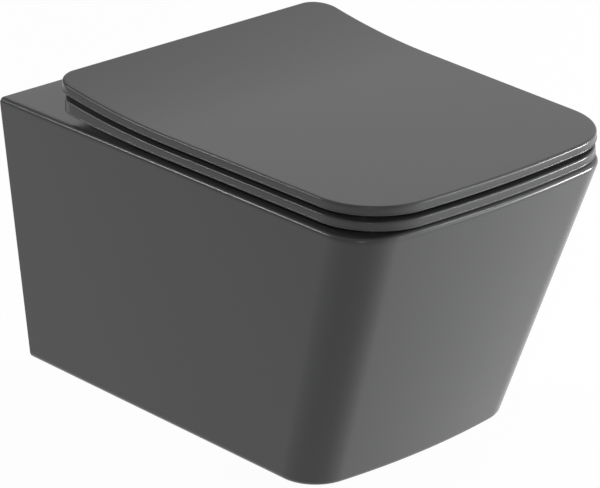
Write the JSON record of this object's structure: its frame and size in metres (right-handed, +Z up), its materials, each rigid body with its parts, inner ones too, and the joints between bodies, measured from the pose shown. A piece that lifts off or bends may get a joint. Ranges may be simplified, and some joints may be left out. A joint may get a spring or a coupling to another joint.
{
  "type": "wall hung toilet",
  "caption": "Wall-hung toilet: tapered straight-sided china pan with bowl, waste way and inlet, slim soft-close seat, upswept lid, concealed wall brackets.",
  "frame": {"origin": "on the wall's face, midway between the two fixing studs", "axes": "+Z up, +Y into the wall, so the pan stands out along -Y; +X to the right for someone who faces the wall"},
  "size_m": [0.3538, 0.5285, 0.3383],
  "materials": {
    "pan_glaze": "satin dark grey glaze on china",
    "seat_panel": "satin dark grey moulded resin",
    "hinge_metal": "plated zinc casting, satin",
    "button_metal": "polished plating",
    "steel": "bright stainless steel",
    "bracket_steel": "zinc plated steel",
    "brass": "plain turned brass",
    "white_plastic": "natural white moulding",
    "damper_plastic": "black moulding",
    "soft_rubber": "soft matt rubber",
    "clear_rubber": "pale translucent pad"
  },
  "bodies": {
    "pan": {"pan": "pan_glaze", "bowl": "pan_glaze", "inlet_socket": "pan_glaze", "wall_bracket_left": "bracket_steel", "wall_bracket_right": "bracket_steel", "stud_nuts": "steel", "stud_washers": "steel", "clamp_screws": "steel", "clamp_washers": "white_plastic", "flush_distributor": "white_plastic", "distributor_seal": "soft_rubber", "hinge_block_left": "hinge_metal", "hinge_block_right": "hinge_metal", "base_plate_left": "hinge_metal", "base_plate_right": "hinge_metal", "base_gasket_left": "soft_rubber", "base_gasket_right": "soft_rubber", "expanding_plug_left": "soft_rubber", "expanding_plug_right": "soft_rubber", "cone_nut_left": "brass", "cone_nut_right": "brass", "mounting_post_left": "steel", "mounting_post_right": "steel", "damper_body_left": "damper_plastic", "damper_body_right": "damper_plastic", "release_spring_left": "steel", "release_spring_right": "steel"},
    "seat": {"seat": "seat_panel", "seat_bumpers": "clear_rubber", "damper_shaft_left": "steel", "seat_bush": "white_plastic"},
    "lid": {"lid": "seat_panel", "lid_bumpers": "clear_rubber", "damper_shaft_right": "steel", "lid_bush": "white_plastic"},
    "release_button_left": {"release_button_left": "button_metal"},
    "release_button_right": {"release_button_right": "button_metal"}
  },
  "joints": [
    {"name": "seat_hinge", "type": "hinge", "parent": "pan", "child": "seat", "pos_m": [0, -0.092, 0.116], "axis": [-1, 0, 0], "range_deg": [0, 95]},
    {"name": "lid_hinge", "type": "hinge", "parent": "seat", "child": "lid", "pos_m": [0, -0.092, 0.116], "axis": [-1, 0, 0], "range_deg": [0, 95]},
    {"name": "release_left", "type": "slide", "parent": "pan", "child": "release_button_left", "axis": [-1, 0, 0], "range_m": [0, 0.0025], "stiffness_N_per_m": 300, "springref_m": -0.002, "deforming": ["release_spring_left"]},
    {"name": "release_right", "type": "slide", "parent": "pan", "child": "release_button_right", "axis": [1, 0, 0], "range_m": [0, 0.0025], "stiffness_N_per_m": 300, "springref_m": -0.002, "deforming": ["release_spring_right"]}
  ]
}
